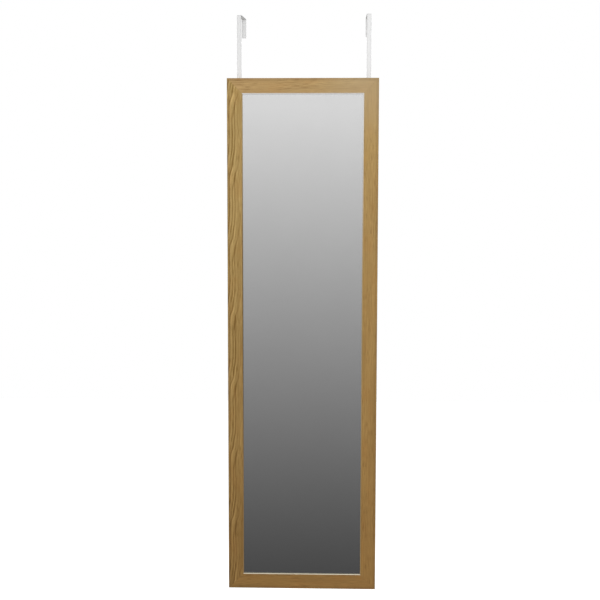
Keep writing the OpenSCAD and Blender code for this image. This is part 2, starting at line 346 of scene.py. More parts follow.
# %% [markdown]
# ### The straight grain
#
# Most of the foil is plain: soft fibres a millimetre or so wide and many centimetres long,
# finer threads among them, broad drifts of tone, dark flecks with pale ones beside them in
# loose groups, and fine pores. A picture of oak could be laid on, but it would repeat down the
# stiles and blur from close by. So each kind of mark is one noise that is squeezed across the
# grain and stretched along it. The noises run over the unrolled foil, and a seed moves them, so
# that no two lengths match.

# %% Noise that is stretched along the grain
# For each kind of mark: its width across the grain and its length along it in millimetres,
# what is added to the seed to keep it apart from the others, and the noise's detail
SWAY = (60, 120, 0.5, 2.0)
FIBRE = (1.6, 110, 0, 3.0)
DRIFT = (16, 240, 10, 2.0)
THREAD = (0.35, 28, 60, 2.0)
FLECK = (2.0, 19, 20, 0.0)
FLECK_GROUP = (26, 60, 70, 2.0)
PORE = (0.30, 3.6, 30, 1.0)
# Nearly all of a noise lies between these two
NOISE_RANGE = (0.3, 0.7)


def noise(tree, vector, scale=1.0, detail=2.0, roughness=0.5):
    """Cloudy noise from 0 to 1, mostly near 0.5."""
    node = add(tree, "ShaderNodeTexNoise", Vector=vector, Scale=scale, Detail=detail,
               Roughness=roughness)
    return node.outputs["Fac"]


def stretched(tree, unrolled, along, mark, seed):
    """Noise whose marks are about as wide across the grain and as long along it as mark says."""
    width, length, apart, detail = mark
    vector = add(tree, "ShaderNodeCombineXYZ", X=math_node(tree, "MULTIPLY", unrolled, 1 / width),
                 Y=math_node(tree, "MULTIPLY", along, 1 / length), Z=seed + apart)
    return noise(tree, vector.outputs["Vector"], detail=detail)


def ramp_between(tree, value, low, high, out_low=0.0, out_high=1.0, smooth=True):
    """Goes from out_low to out_high as value goes from low to high, and stays there."""
    kind = "SMOOTHSTEP" if smooth else "LINEAR"
    node = add(tree, "ShaderNodeMapRange", {"interpolation_type": kind, "clamp": True},
               Value=value, From_Min=low, From_Max=high, To_Min=out_low, To_Max=out_high)
    return node.outputs["Result"]


print(f"fibres {FIBRE[0]} x {FIBRE[1]} mm, pores {PORE[0]} x {PORE[1]} mm")

# %% Fibres, drift, threads, flecks and pores
# How far the sway moves the other marks across the grain, in millimetres
SWAY_REACH = 5.0
# Where in their noises the marks begin and where they are full
DARK_FLECKS = (0.57, 0.70)
PALE_FLECKS = (0.43, 0.32)
FLECK_GROUPS = (0.40, 0.60)
PORES = (0.60, 0.70)
# What is left of the flecks between two groups, and a pale fleck's share of a dark one
BETWEEN_GROUPS = 0.2
PALE_FLECK_SHARE = 0.6


def straight_grain(tree, unrolled, along, seed):
    """Fibres, drift and threads around 0, and masks of the flecks and the pores."""
    sway = stretched(tree, unrolled, along, SWAY, seed)
    swayed = math_node(tree, "MULTIPLY_ADD", sway, SWAY_REACH, unrolled)
    around_zero = []
    for mark in (FIBRE, DRIFT, THREAD):
        marks = stretched(tree, swayed, along, mark, seed)
        around_zero.append(math_node(tree, "SUBTRACT", marks, 0.5))

    fleck_noise = stretched(tree, swayed, along, FLECK, seed)
    dark = ramp_between(tree, fleck_noise, *DARK_FLECKS)
    pale = ramp_between(tree, fleck_noise, *PALE_FLECKS)
    flecks = math_node(tree, "MULTIPLY_ADD", pale, -PALE_FLECK_SHARE, dark)
    group_noise = stretched(tree, swayed, along, FLECK_GROUP, seed)
    groups = ramp_between(tree, group_noise, *FLECK_GROUPS, BETWEEN_GROUPS, 1.0)
    flecks = math_node(tree, "MULTIPLY", flecks, groups)

    pores = ramp_between(tree, stretched(tree, swayed, along, PORE, seed), *PORES)
    return (*around_zero, flecks, pores)


print(f"the grain wanders by up to {SWAY_REACH} mm")

# %% [markdown]
# ### The figure on the left stile
#
# The left stile was cut where the print has its bold figure: long lines that run down the
# stile, lean out to its edge and run on, over and over. The lines could be drawn as curves one
# by one, but they follow a rule. In the photograph the figure comes back every 164.5 mm, and in
# that distance each line moves 13 mm towards the edge, which is also the distance from one line
# to the next. So one profile across the lines, repeated every 13 mm, and one curve of how far
# they have leaned, repeated every 164.5 mm, make the whole figure.

# %% The figure's sizes and curves
# In millimetres: along the stile how far apart the repeats are and where the first one starts,
# and across it how far apart the lines are and where a ridge lies at the start of a repeat
FIGURE_REPEAT = 164.5
FIGURE_START = 30.0
LINE_SPACING = 13.0
FIRST_RIDGE = 29.6
FIGURE_CONTRAST = 1.65
# How far the lines have leaned, as a share of their spacing, over one repeat
LEAN = ((0, 0), (0.05, 0.09), (0.085, 0.23), (0.13, 0.46), (0.17, 0.585), (0.22, 0.625),
        (0.35, 0.65), (0.45, 0.65), (0.565, 0.585), (0.69, 0.62), (0.83, 0.715), (0.91, 0.87),
        (1, 1))
# Tone across the lines, from one pale ridge to the next: the streak lies before the ridge
RIDGE_AND_STREAK = ((0, 0.84), (0.04, 0.76), (0.09, 0.58), (0.16, 0.5), (0.5, 0.5), (0.6, 0.42),
                    (0.68, 0.0), (0.75, 0.12), (0.84, 0.52), (0.92, 0.74), (1, 0.84))
# How strong the ridge and the streak are, over one repeat
RIDGE_STRENGTH = ((0, 1), (0.12, 0.9), (0.2, 0.74), (0.35, 0.48), (0.6, 0.52), (0.8, 0.76),
                  (0.93, 1), (1, 1))
# Tone of the finer lines between them, and the shares of a repeat where these come and go
FINE_LINES = ((0, 0.5), (0.16, 0.5), (0.28, 0.1), (0.38, 0.42), (0.48, 0.75), (0.56, 0.55),
              (0.64, 0.5), (1, 0.5))
FINE_STRENGTH = 0.86
FINE_COME = (0.24, 0.40)
FINE_GO = (0.93, 1.0)
# Between these distances across, in millimetres, the lines calm down to a share of themselves
CALM = (17, 25)
CALM_SHARE = 0.28
print(f"the figure comes {FRAME_H / FIGURE_REPEAT:.1f} times down the stile")


# %% The figure's lines
def curve_of(tree, value, points):
    """A smooth curve through a few (in, out) points."""
    node = tree.nodes.new("ShaderNodeFloatCurve")
    curve = node.mapping.curves[0]
    while len(curve.points) < len(points):
        curve.points.new(0.5, 0.5)
    for point, place in zip(curve.points, points):
        point.location = place
    node.mapping.update()
    fill(tree, node.inputs["Value"], value)
    return node.outputs["Value"]


def figure_lines(tree, unrolled, phase):
    """The ridges, the streaks and the finer lines, around 0."""
    line = math_node(tree, "MULTIPLY_ADD", unrolled, 1 / LINE_SPACING,
                     -FIRST_RIDGE / LINE_SPACING)
    line = math_node(tree, "ADD", line, curve_of(tree, phase, LEAN))
    line = math_node(tree, "FRACT", line)
    ridges = math_node(tree, "SUBTRACT", curve_of(tree, line, RIDGE_AND_STREAK), 0.5)
    ridges = math_node(tree, "MULTIPLY", ridges, curve_of(tree, phase, RIDGE_STRENGTH))
    fine = math_node(tree, "SUBTRACT", curve_of(tree, line, FINE_LINES), 0.5)
    fine = math_node(tree, "MULTIPLY", fine, FINE_STRENGTH)
    window = math_node(tree, "MULTIPLY", ramp_between(tree, phase, *FINE_COME),
                       ramp_between(tree, phase, *FINE_GO, 1.0, 0.0))
    lines = math_node(tree, "MULTIPLY_ADD", fine, window, ridges)
    calm = ramp_between(tree, unrolled, *CALM, 1.0, CALM_SHARE)
    return math_node(tree, "MULTIPLY", lines, calm)


print(f"up to {math.ceil(FACE / LINE_SPACING)} ridges lie side by side on the face")

# %% [markdown]
# ### The figure's soft areas
#
# Between the lines lie two soft areas: a pale one inside each lean, and a dark patch where the
# lines gather again. More points on the curves above could hold them too, but they slant
# another way than the lines do. So each is a mask of its own: a soft band that slants towards
# the outer edge and fades in and out along the stile.

# %% The pale area, the dark patch and the whole figure
# Millimetres that the area moves outwards in one repeat, its place across at the start, the
# half widths where it is full and where it ends, and the shares of a repeat where it comes
# and goes
PALE_AREA = (26.0, 15.5, (1.5, 5.0), (0.0, 0.07), (0.18, 0.38))
DARK_PATCH = (29.0, 23.6, (0.6, 3.4), (0.12, 0.2), (0.3, 0.42))
PALE_AREA_TONE = 0.17
DARK_PATCH_TONE = -0.26


def soft_area(tree, unrolled, phase, area):
    """A mask of one soft area: 1 inside it and 0 outside."""
    slant, start, half_widths, comes, goes = area
    across = math_node(tree, "MULTIPLY_ADD", phase, slant, unrolled)
    off = math_node(tree, "ABSOLUTE", math_node(tree, "SUBTRACT", across, start))
    inside = math_node(tree, "MULTIPLY", ramp_between(tree, off, *half_widths, 1.0, 0.0),
                       ramp_between(tree, phase, *comes))
    return math_node(tree, "MULTIPLY", inside, ramp_between(tree, phase, *goes, 1.0, 0.0))


def figure(tree, unrolled, along):
    """Tone of the figure, around 0: pale is above it and dark is below."""
    repeats = math_node(tree, "MULTIPLY_ADD", along, 1 / FIGURE_REPEAT,
                        -FIGURE_START / FIGURE_REPEAT)
    phase = math_node(tree, "FRACT", repeats)
    tone = figure_lines(tree, unrolled, phase)
    patch = soft_area(tree, unrolled, phase, DARK_PATCH)
    tone = math_node(tree, "MULTIPLY_ADD", patch, DARK_PATCH_TONE, tone)
    pale = soft_area(tree, unrolled, phase, PALE_AREA)
    tone = math_node(tree, "MULTIPLY_ADD", pale, PALE_AREA_TONE, tone)
    return math_node(tree, "MULTIPLY", tone, FIGURE_CONTRAST)


print(f"the pale area lies {PALE_AREA[1]} mm across, the dark patch {DARK_PATCH[1]} mm")

# %% [markdown]
# ### From grain to oak
#
# The marks above only say lighter or darker. Added up, they give one tone, 0 for deep and 1
# for pale, and the foil mixes its two oak colours by it. A mix that stays between them would
# cut off the palest and the deepest marks, so the tone may pass 0 and 1 a little. Some
# stretches lean towards orange.

# %% All the marks in one tone
FIBRE_STRENGTH = 1.5
DRIFT_STRENGTH = 0.9
THREAD_STRENGTH = 1.3
FLECK_STRENGTH = 0.5
PORE_STRENGTH = 0.45


def print_tone(tree, fibres, drift, threads, flecks, pores, fleck_strength):
    """All the straight marks in one tone, which is mostly between 0 and 1."""
    tone = math_node(tree, "MULTIPLY_ADD", fibres, FIBRE_STRENGTH, 0.5)
    tone = math_node(tree, "MULTIPLY_ADD", drift, DRIFT_STRENGTH, tone)
    tone = math_node(tree, "MULTIPLY_ADD", threads, THREAD_STRENGTH, tone)
    tone = math_node(tree, "MULTIPLY_ADD", flecks, -fleck_strength, tone)
    return math_node(tree, "MULTIPLY_ADD", pores, -PORE_STRENGTH, tone)


print(f"a fleck darkens the tone by up to {FLECK_STRENGTH}, a pore by {PORE_STRENGTH}")

# %% The two oak colours
LOWEST_TONE = -0.4
HIGHEST_TONE = 1.4
# The orange stretches: the noise that places them, where in it they begin and are full, and
# how far they lean
WARM_STRETCH = (22, 70, 40, 2.0)
WARM_RANGE = (0.45, 0.7)
WARM_SHARE = 0.5
ORANGE = (1.0, 0.90, 0.80)


def four_numbers(colour):
    """A colour socket wants an alpha too; another node's output is left as it is."""
    return (*colour, 1.0) if isinstance(colour, tuple) else colour


def tinted(tree, colour, share, tint, how="MIX", clamp=True):
    """colour with a share of tint mixed into it, which may pass 0 and 1 if it isn't clamped."""
    node = tree.nodes.new("ShaderNodeMix")
    node.data_type = "RGBA"
    node.blend_type = how
    node.clamp_factor = clamp
    # A Mix node has sockets for every kind of value: these are its factor and its colours
    factor, first, second = node.inputs[0], node.inputs[6], node.inputs[7]
    fill(tree, factor, share)
    fill(tree, first, four_numbers(colour))
    fill(tree, second, four_numbers(tint))
    return node.outputs[2]


def oak_colour(tree, tone, pale, deep, warmth):
    """The two oak colours mixed by the tone, with a lean to orange where it is warm."""
    tone = math_node(tree, "MAXIMUM", tone, LOWEST_TONE)
    tone = math_node(tree, "MINIMUM", tone, HIGHEST_TONE)
    colour = tinted(tree, deep, tone, pale, clamp=False)
    warm = ramp_between(tree, warmth, *WARM_RANGE, 0.0, WARM_SHARE)
    return tinted(tree, colour, warm, ORANGE, "MULTIPLY")


print(f"the tone may run from {LOWEST_TONE} to {HIGHEST_TONE}")

# %% [markdown]
# ### From end to end
#
# The colour isn't the same all along either. Down the stiles it grows deeper and more golden:
# partly a change in the print, and partly painted shade for the light that falls off towards the
# foot. Along the rails it turns slightly paler, and round the top right corner a painted sheen
# makes it paler still. Two colours for each end could do the first, but a tint that comes in along
# the length needs only one more. The painted sheen crosses a mitre, so it is laid round a point in
# space, and both lengths share it.

# %% The drift to the far end, and the painted sheen at the corner
# Where the drift begins, as a share of the length
DRIFT_FROM = 0.1
# How far from the corner the painted sheen is full and where it ends
PAINTED_SHEEN_CORE = 30 * MM
PAINTED_SHEEN_REACH = 170 * MM
PAINTED_SHEEN_SHARE = 0.5
# The pale colour of the painted sheen
PAINTED_SHEEN_TINT = (0.46, 0.34, 0.19)


def end_to_end(tree, colour, along, extent, far_end, place):
    """The drift along the length, partly painted shade down the stiles, and the painted sheen at
    the corner.
    """
    travelled = ramp_between(tree, along, DRIFT_FROM * extent, extent, smooth=False)
    colour = tinted(tree, colour, travelled, far_end, "MULTIPLY")
    from_corner = add(tree, "ShaderNodeVectorMath", {"operation": "DISTANCE"})
    fill(tree, from_corner.inputs[0], place)
    fill(tree, from_corner.inputs[1], (frame_right, frame_front, frame_top))
    painted_sheen = ramp_between(tree, from_corner.outputs["Value"], PAINTED_SHEEN_CORE, PAINTED_SHEEN_REACH,
                         PAINTED_SHEEN_SHARE, 0.0)
    return tinted(tree, colour, painted_sheen, PAINTED_SHEEN_TINT)


print(f"faded up to {PAINTED_SHEEN_REACH / MM:.0f} mm from the top right corner")

# %% [markdown]
# ### The foil's edges
#
# A foil isn't flat print everywhere. It is darker in a thin line over the outer edge and in a band
# beside both edges. Its bevelled lip next to the glass carries painted light: on the two rails a
# painted highlight in cream, and down the stiles it goes from that cream to brown, by way of a
# nearly black painted shadow on the left one. All of this could be modelled as strips, but a mask
# on the distance across the face puts it exactly on the bevel that the solids already have.

# %% The darker edge line and bands
# Distances from the outer edge in millimetres, and how strong each mark is
EDGE_LINE = (0.7, 1.6)
EDGE_LINE_SHARE = 0.25
EDGE_LINE_TINT = (0.50, 0.42, 0.33)
OUTER_BAND = (0.5, 3.5)
OUTER_BAND_SHARES = (0.08, 0.22)
OUTER_BAND_ENDS = (4.5, 8.0)
INNER_BAND_WIDTH = 3.5
INNER_BAND_SHARE = 0.12
DARK_BAND_TINT = (0.35, 0.30, 0.25)


def darker_edges(tree, colour, across, back):
    """A darker line over the outer edge, and a darker band inside each edge."""
    fold = math_node(tree, "MAXIMUM", across, back)
    edge_line = ramp_between(tree, fold, *EDGE_LINE, EDGE_LINE_SHARE, 0.0)
    colour = tinted(tree, colour, edge_line, EDGE_LINE_TINT, "MULTIPLY")
    outer = math_node(tree, "MULTIPLY",
                      ramp_between(tree, across, *OUTER_BAND, *OUTER_BAND_SHARES),
                      ramp_between(tree, across, *OUTER_BAND_ENDS, 1.0, 0.0))
    inner = ramp_between(tree, across, FLAT - INNER_BAND_WIDTH, FLAT, 0.0, INNER_BAND_SHARE)
    dark_bands = math_node(tree, "MAXIMUM", outer, inner)
    return tinted(tree, colour, dark_bands, DARK_BAND_TINT, "MULTIPLY")


print(f"worn up to {OUTER_BAND_ENDS[1]} mm from the outer edge")

# %% The lip's painted highlight and shadow
# Painted highlights for the lip where it catches the light
CREAM_HIGHLIGHT = (0.94, 0.86, 0.67)
PALE_CREAM_HIGHLIGHT = (0.96, 0.94, 0.90)
# Shares of the length where the lip has reached its middle colour, where it leaves that
# colour, and where it has reached its last one
LIP_HALFWAY = 0.42
LIP_LEAVES = 0.5
LIP_ARRIVES = 0.8
LIP_BLUR = 0.1


def lip(tree, colour, across, along, extent, lip_from, lip_tones_with_painted_light):
    """The bevelled lip, from so far onto the bevel, in its three colours along the length, which
    paint its highlight and, on the left stile, its shadow.
    """
    at_start, halfway, at_end = lip_tones_with_painted_light
    first_part = ramp_between(tree, along, 0, LIP_HALFWAY * extent)
    last_part = ramp_between(tree, along, LIP_LEAVES * extent, LIP_ARRIVES * extent)
    lip_colour = tinted(tree, at_start, first_part, halfway)
    lip_colour = tinted(tree, lip_colour, last_part, at_end)
    edge = FLAT + lip_from
    on_lip = ramp_between(tree, across, edge - LIP_BLUR, edge + LIP_BLUR)
    return tinted(tree, colour, on_lip, lip_colour)


print(f"the lip starts {FLAT:.1f} mm from the outer edge")

# %% [markdown]
# ### Bare board and the mitres
#
# On the back the foil ends some seven millimetres in, along a slightly ragged cut, and shows the
# board that it is glued to. The rebate is bare board too, and beside the glass it carries a
# painted shade. A second material on the back faces could show it, but its border would then
# follow the mesh, so a mask on the distances draws the cut. Each mitre closes in a hairline that
# runs round all sides, so it is laid over foil and board alike.

# %% Bare board and its colours
LAP = 7.0
RAGGED_CUT = (8, 8, 50, 2.0)
RAGGED_BY = 1.2
# How far in front of the back, and inside the rebate's walls, a point still counts as on them
NEAR_BACK = 0.05
NEAR_WALL = 0.02
BOARD_PALE = (0.50, 0.38, 0.25)
BOARD_DEEP = (0.36, 0.26, 0.16)
# A painted shade, nearly black, over the board in the rebate beside the glass
REBATE_PAINTED_SHADE = (0.02, 0.015, 0.01)
REBATE_PAINTED_SHADE_SHARE = 0.9


def bare_places(tree, unrolled, along, across, back, seed):
    """Masks of all the bare board, and of the part of it in the rebate."""
    ragged = stretched(tree, unrolled, along, RAGGED_CUT, seed)
    lap_edge = math_node(tree, "MULTIPLY_ADD", ragged, RAGGED_BY, across)
    past_lap = math_node(tree, "GREATER_THAN", lap_edge, LAP)
    on_back = math_node(tree, "GREATER_THAN", back, DEPTH - NEAR_BACK)
    in_rebate = math_node(tree, "MULTIPLY",
                          math_node(tree, "GREATER_THAN", across, WALL - NEAR_WALL),
                          math_node(tree, "GREATER_THAN", back, LIP + NEAR_WALL))
    bare = math_node(tree, "MAXIMUM", math_node(tree, "MULTIPLY", past_lap, on_back), in_rebate)
    return bare, in_rebate


def bare_board(tree, colour, bare, in_rebate, fluff):
    """The board's own colour where it is bare, and a painted shade in the rebate."""
    board = tinted(tree, BOARD_DEEP, ramp_between(tree, fluff, *NOISE_RANGE), BOARD_PALE)
    colour = tinted(tree, colour, bare, board)
    shade = math_node(tree, "MULTIPLY", in_rebate, REBATE_PAINTED_SHADE_SHARE)
    return tinted(tree, colour, shade, REBATE_PAINTED_SHADE)


print(f"the foil laps {LAP} mm onto the back")

# %% The mitres
# Distances from the mitre in millimetres where its line is full and where it ends
MITRE = (0.06, 0.25)
MITRE_SHARE = 0.45
MITRE_LINE = (0.12, 0.08, 0.05)


def mitres(tree, colour, along, across, extent):
    """The hairlines where this length meets its neighbours."""
    from_end = math_node(tree, "MINIMUM", along, math_node(tree, "SUBTRACT", extent, along))
    off_line = math_node(tree, "ABSOLUTE", math_node(tree, "SUBTRACT", from_end, across))
    on_line = ramp_between(tree, off_line, *MITRE, MITRE_SHARE, 0.0)
    return tinted(tree, colour, on_line, MITRE_LINE)


print(f"each mitre's line is {2 * MITRE[1]} mm wide at most")

# %% [markdown]
# ### One function for all four foils
#
# The layers above are now laid on one after the other, from the print up to the mitres. Four
# materials could be written out for the four lengths, but they would drift apart at the first
# change, so one function makes them all. The foil has a satin sheen that is a little duller in
# its pores and much duller on the bare board. Pores and threads also press a very fine relief
# into it, a few hundredths of a millimetre deep.

# %% Shader, relief and dressing a node
def bumped(tree, height, distance, strength=1.0):
    """A normal that makes height stand out by distance, in metres."""
    node = add(tree, "ShaderNodeBump", Height=height, Distance=distance, Strength=strength)
    return node.outputs["Normal"]


def surface(tree, output, colour, roughness, normal=None, **numbers):
    """The Principled shader: colour, roughness and normal may come from nodes."""
    shader = tree.nodes.new("ShaderNodeBsdfPrincipled")
    fill(tree, shader.inputs["Base Color"], colour)
    fill(tree, shader.inputs["Roughness"], roughness)
    fill(tree, shader.inputs["Normal"], normal)
    for name, number in numbers.items():
        shader.inputs[name.replace("_", " ")].default_value = number
    tree.links.new(shader.outputs["BSDF"], output.inputs["Surface"])
    return shader


def dress(material, *names):
    """Gives CAD nodes this finish, in place of the plain one that they were packed with."""
    for name in names:
        slots = nodes[name].data.materials
        slots.clear()
        slots.append(material)
    print(f"{material.name}: {len(names)} node(s), {len(material.node_tree.nodes)} shader nodes")


# %% Oak foil
SATIN_RANGE = (-0.2, 0.2)
SATIN = (0.46, 0.38)
PORE_DULLNESS = 0.15
BOARD_ROUGHNESS = 0.9
PORE_RELIEF = -0.6
BOARD_RELIEF = 2.0
RELIEF_DEPTH = 0.06 * MM


def foil_relief(tree, threads, pores, fluff, bare):
    """Heights on the foil and on the bare board."""
    relief = math_node(tree, "MULTIPLY_ADD", pores, PORE_RELIEF, threads)
    rough_board = math_node(tree, "MULTIPLY", fluff, bare)
    return math_node(tree, "MULTIPLY_ADD", rough_board, BOARD_RELIEF, relief)


def oak_foil(name, length, seed, pale, deep, far_end, lip_from, lip_tones_with_painted_light, figured=False,
             fleck_strength=FLECK_STRENGTH):
    """The printed foil of one length, and the bare board on its back."""
    material, tree, output = new_material(name)
    place = object_place(tree)
    along, across, back, unrolled = foil_place(tree, place, length)
    extent = LENGTHS[length][2]
    fibres, drift, threads, flecks, pores = straight_grain(tree, unrolled, along, seed)
    tone = print_tone(tree, fibres, drift, threads, flecks, pores, fleck_strength)
    if figured:
        tone = math_node(tree, "ADD", tone, figure(tree, unrolled, along))

    warmth = stretched(tree, unrolled, along, WARM_STRETCH, seed)
    colour = oak_colour(tree, tone, pale, deep, warmth)
    colour = end_to_end(tree, colour, along, extent, far_end, place)
    colour = darker_edges(tree, colour, across, back)
    colour = lip(tree, colour, across, along, extent, lip_from, lip_tones_with_painted_light)
    fluff = noise(tree, place, scale=1500.0, detail=3.0, roughness=0.7)
    bare, in_rebate = bare_places(tree, unrolled, along, across, back, seed)
    colour = bare_board(tree, colour, bare, in_rebate, fluff)
    colour = mitres(tree, colour, along, across, extent)

    satin = ramp_between(tree, fibres, *SATIN_RANGE, *SATIN, smooth=False)
    roughness = math_node(tree, "MULTIPLY_ADD", pores, PORE_DULLNESS, satin)
    rough_board = math_node(tree, "MULTIPLY", bare, BOARD_ROUGHNESS)
    roughness = math_node(tree, "MAXIMUM", roughness, rough_board)
    relief = bumped(tree, foil_relief(tree, threads, pores, fluff, bare), RELIEF_DEPTH)
    surface(tree, output, colour, roughness, relief)
    dress(material, length)


# %% [markdown]
# ### The four lengths
#
# On the real frame the four lengths are cut from different stretches of the roll, and none has
# quite the tone of its neighbour. One shared pair of colours would hide that. So each call gives
# its own pale and deep oak, read off the photograph where it is lit evenly; the bottom rail's
# deeper oak is partly painted shade. Then come the tint at the length's far end, which on the
# stiles is partly painted shade as well, how many millimetres up the bevel the lip's colour
# starts, and the lip's colours at its start, halfway and at its end, which hold a painted
# highlight and, on the left stile, a painted shadow.

# %% Foil on the rails and the stiles
# The stiles' far-end tints and the bottom rail's deeper oak are partly painted shade; the cream
# lips are a painted highlight and the nearly black stretch on the left lip a painted shadow.
oak_foil("oak_foil_upper", "top_rail", seed=3.0, pale=(0.51, 0.33, 0.13),
         deep=(0.34, 0.205, 0.072), far_end=(1.02, 1.08, 1.14), lip_from=0.0,
         lip_tones_with_painted_light=(PALE_CREAM_HIGHLIGHT, PALE_CREAM_HIGHLIGHT, PALE_CREAM_HIGHLIGHT))
oak_foil("oak_foil_plain", "right_stile", seed=17.0, pale=(0.48, 0.31, 0.105),
         deep=(0.33, 0.20, 0.06), far_end=(0.825, 0.705, 0.57), lip_from=0.0,
         lip_tones_with_painted_light=(PALE_CREAM_HIGHLIGHT, (0.52, 0.38, 0.19), (0.45, 0.30, 0.13)))
oak_foil("oak_foil_figured", "left_stile", seed=31.0, pale=(0.525, 0.36, 0.13),
         deep=(0.305, 0.19, 0.05), far_end=(0.70, 0.585, 0.47), lip_from=0.8,
         lip_tones_with_painted_light=((0.58, 0.45, 0.28), (0.10, 0.07, 0.04), (0.38, 0.24, 0.11)),
         figured=True, fleck_strength=0.4)
oak_foil("oak_foil_lower", "bottom_rail", seed=47.0, pale=(0.362, 0.195, 0.052),
         deep=(0.254, 0.137, 0.0335), far_end=(1.10, 1.08, 1.12), lip_from=0.5,
         lip_tones_with_painted_light=(CREAM_HIGHLIGHT, CREAM_HIGHLIGHT, CREAM_HIGHLIGHT))

# %% [markdown]
# ## Glass and silver
#
# The mirror is a clear pane with its silver on the back, as on the real one, so it is made of
# the same two pieces. A single shiny metal surface would look much the same from afar, but up
# close the silver lies a glass's thickness behind the lip. The two solids touch, and a ray
# that leaves the glass would start exactly on the silver, so the silver's mesh is shrunk by a
# hundredth of a millimetre.

# %% Clear glass
GLASS_IOR = 1.52
GLASS_TINTS = ((0.995, 0.995, 0.995), (0.985, 0.985, 0.985))
SMEARS = (0.55, 0.9)
SMEAR_ROUGHNESS = 0.012


def clear_glass():
    """A clear pane with the faintest smears."""
    material, tree, output = new_material("float_glass")
    smears = noise(tree, object_place(tree), scale=14.0, detail=3.0)
    roughness = ramp_between(tree, smears, *SMEARS, 0.0, SMEAR_ROUGHNESS)
    tint = tinted(tree, GLASS_TINTS[0], smears, GLASS_TINTS[1])
    surface(tree, output, tint, roughness, IOR=GLASS_IOR, Transmission_Weight=1.0)
    dress(material, "mirror_glass")


clear_glass()

# %% Silver in front, paint behind
SILVERS = ((0.93, 0.93, 0.93), (0.95, 0.95, 0.95))
PAINTS = ((0.23, 0.25, 0.27), (0.28, 0.30, 0.32))
HALF_COAT = 0.05 * MM
PAINT_ROUGHNESS = 0.55
SILVER_SHRINK = 0.01 * MM


def silvering():
    """Bright silver towards the glass, and dull grey paint on its back."""
    material, tree, output = new_material("silvering")
    place = object_place(tree)
    cloud = noise(tree, place, scale=9.0, detail=2.0)
    silver = tinted(tree, SILVERS[0], cloud, SILVERS[1])
    flow = noise(tree, place, scale=120.0, detail=3.0)
    paint = tinted(tree, PAINTS[0], flow, PAINTS[1])
    behind = math_node(tree, "GREATER_THAN", axes_of(tree, place)["Y"], glass_high.y + HALF_COAT)
    colour = tinted(tree, silver, behind, paint)
    roughness = math_node(tree, "MULTIPLY", behind, PAINT_ROUGHNESS)
    shader = surface(tree, output, colour, roughness)
    tree.links.new(math_node(tree, "SUBTRACT", 1.0, behind), shader.inputs["Metallic"])
    dress(material, "mirror_silvering")


silvering()
shrink = nodes["mirror_silvering"].modifiers.new("clear of the glass", "DISPLACE")
shrink.strength = -SILVER_SHRINK
shrink.mid_level = 0.0
print(f"the silver is shrunk by {SILVER_SHRINK / MM:.2f} mm")

# %% [markdown]
# ## The straps' white enamel
#
# The hooks are bent from steel strip and powder coated. One flat white would look like cut
# card. Real powder melts into a skin that is slightly uneven, like orange peel, about a
# millimetre from bump to bump. A fine noise gives the peel as a very shallow relief and the
# roughness follows it, and a broader noise keeps the white from being the same all over.
#
# Melting powder also draws back from sharp edges, so the white is thinner and greyer along
# both edges of the strip. That needs the distance from the strip's middle line. Each strap is
# twisted about the vertical, so the middle of its front leg and the middle of its back leg are
# measured, and the distance is taken square to the line between them.

# %% Where each strap is and how far it is twisted
BEND_CLEARANCE = 10 * MM


def middle(values):
    """Halfway between the lowest and the highest."""
    return (min(values) + max(values)) / 2


def strap_legs(hook):
    """The middle of a strap's front leg and of its back leg, seen from above."""
    low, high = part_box(hook)
    halfway = middle((low.y, high.y))
    below_bends = [v.co for v in nodes[hook].data.vertices if v.co.z < high.z - BEND_CLEARANCE]
    front = [corner for corner in below_bends if corner.y < halfway]
    back = [corner for corner in below_bends if corner.y > halfway]
    return [Vector((middle([corner.x for corner in leg]), middle([corner.y for corner in leg])))
            for leg in (front, back)]


for hook in ("left_hook", "right_hook"):
    print(f"{hook}: front leg at {strap_legs(hook)[0].x / MM:.1f} mm")

# %% White enamel
ENAMEL_WHITES = ((0.80, 0.80, 0.80), (0.83, 0.83, 0.83))
ENAMEL_ROUGHNESS = (0.30, 0.38)
# Distances from the strip's middle line in millimetres where the edge band begins and is full
EDGE_BAND = (2.4, 4.4)
EDGE_SHARE = 0.6
EDGE_GREY = (0.70, 0.70, 0.70)
PEEL_DEPTH = 0.02 * MM
PEEL_STRENGTH = 0.6


def from_middle_line(tree, place, front_leg, across_strip):
    """Distance in millimetres from the middle line of a strap, seen from above."""
    axes = axes_of(tree, place)
    from_x = math_node(tree, "SUBTRACT", axes["X"], front_leg.x)
    from_y = math_node(tree, "SUBTRACT", axes["Y"], front_leg.y)
    offset = math_node(tree, "MULTIPLY", from_x, across_strip.x / MM)
    offset = math_node(tree, "MULTIPLY_ADD", from_y, across_strip.y / MM, offset)
    return math_node(tree, "ABSOLUTE", offset)


def white_enamel(hook):
    """Powder coat on one strap, greyer along the edges of its strip."""
    material, tree, output = new_material(f"white_enamel_{hook}")
    place = object_place(tree)
    front_leg, back_leg = strap_legs(hook)
    to_back = (back_leg - front_leg).normalized()
    across_strip = Vector((to_back.y, -to_back.x))
    thin = ramp_between(tree, from_middle_line(tree, place, front_leg, across_strip), *EDGE_BAND)
    peel = noise(tree, place, scale=900.0, detail=1.0)
    cloud = noise(tree, place, scale=60.0, detail=2.0)
    colour = tinted(tree, ENAMEL_WHITES[0], cloud, ENAMEL_WHITES[1])
    colour = tinted(tree, colour, math_node(tree, "MULTIPLY", thin, EDGE_SHARE), EDGE_GREY)
    roughness = ramp_between(tree, peel, *NOISE_RANGE, *ENAMEL_ROUGHNESS, smooth=False)
    surface(tree, output, colour, roughness, bumped(tree, peel, PEEL_DEPTH, PEEL_STRENGTH))
    dress(material, hook)
    print(f"{hook} is twisted by {math.degrees(math.atan2(-to_back.x, to_back.y)):.1f} degrees")


white_enamel("left_hook")
white_enamel("right_hook")

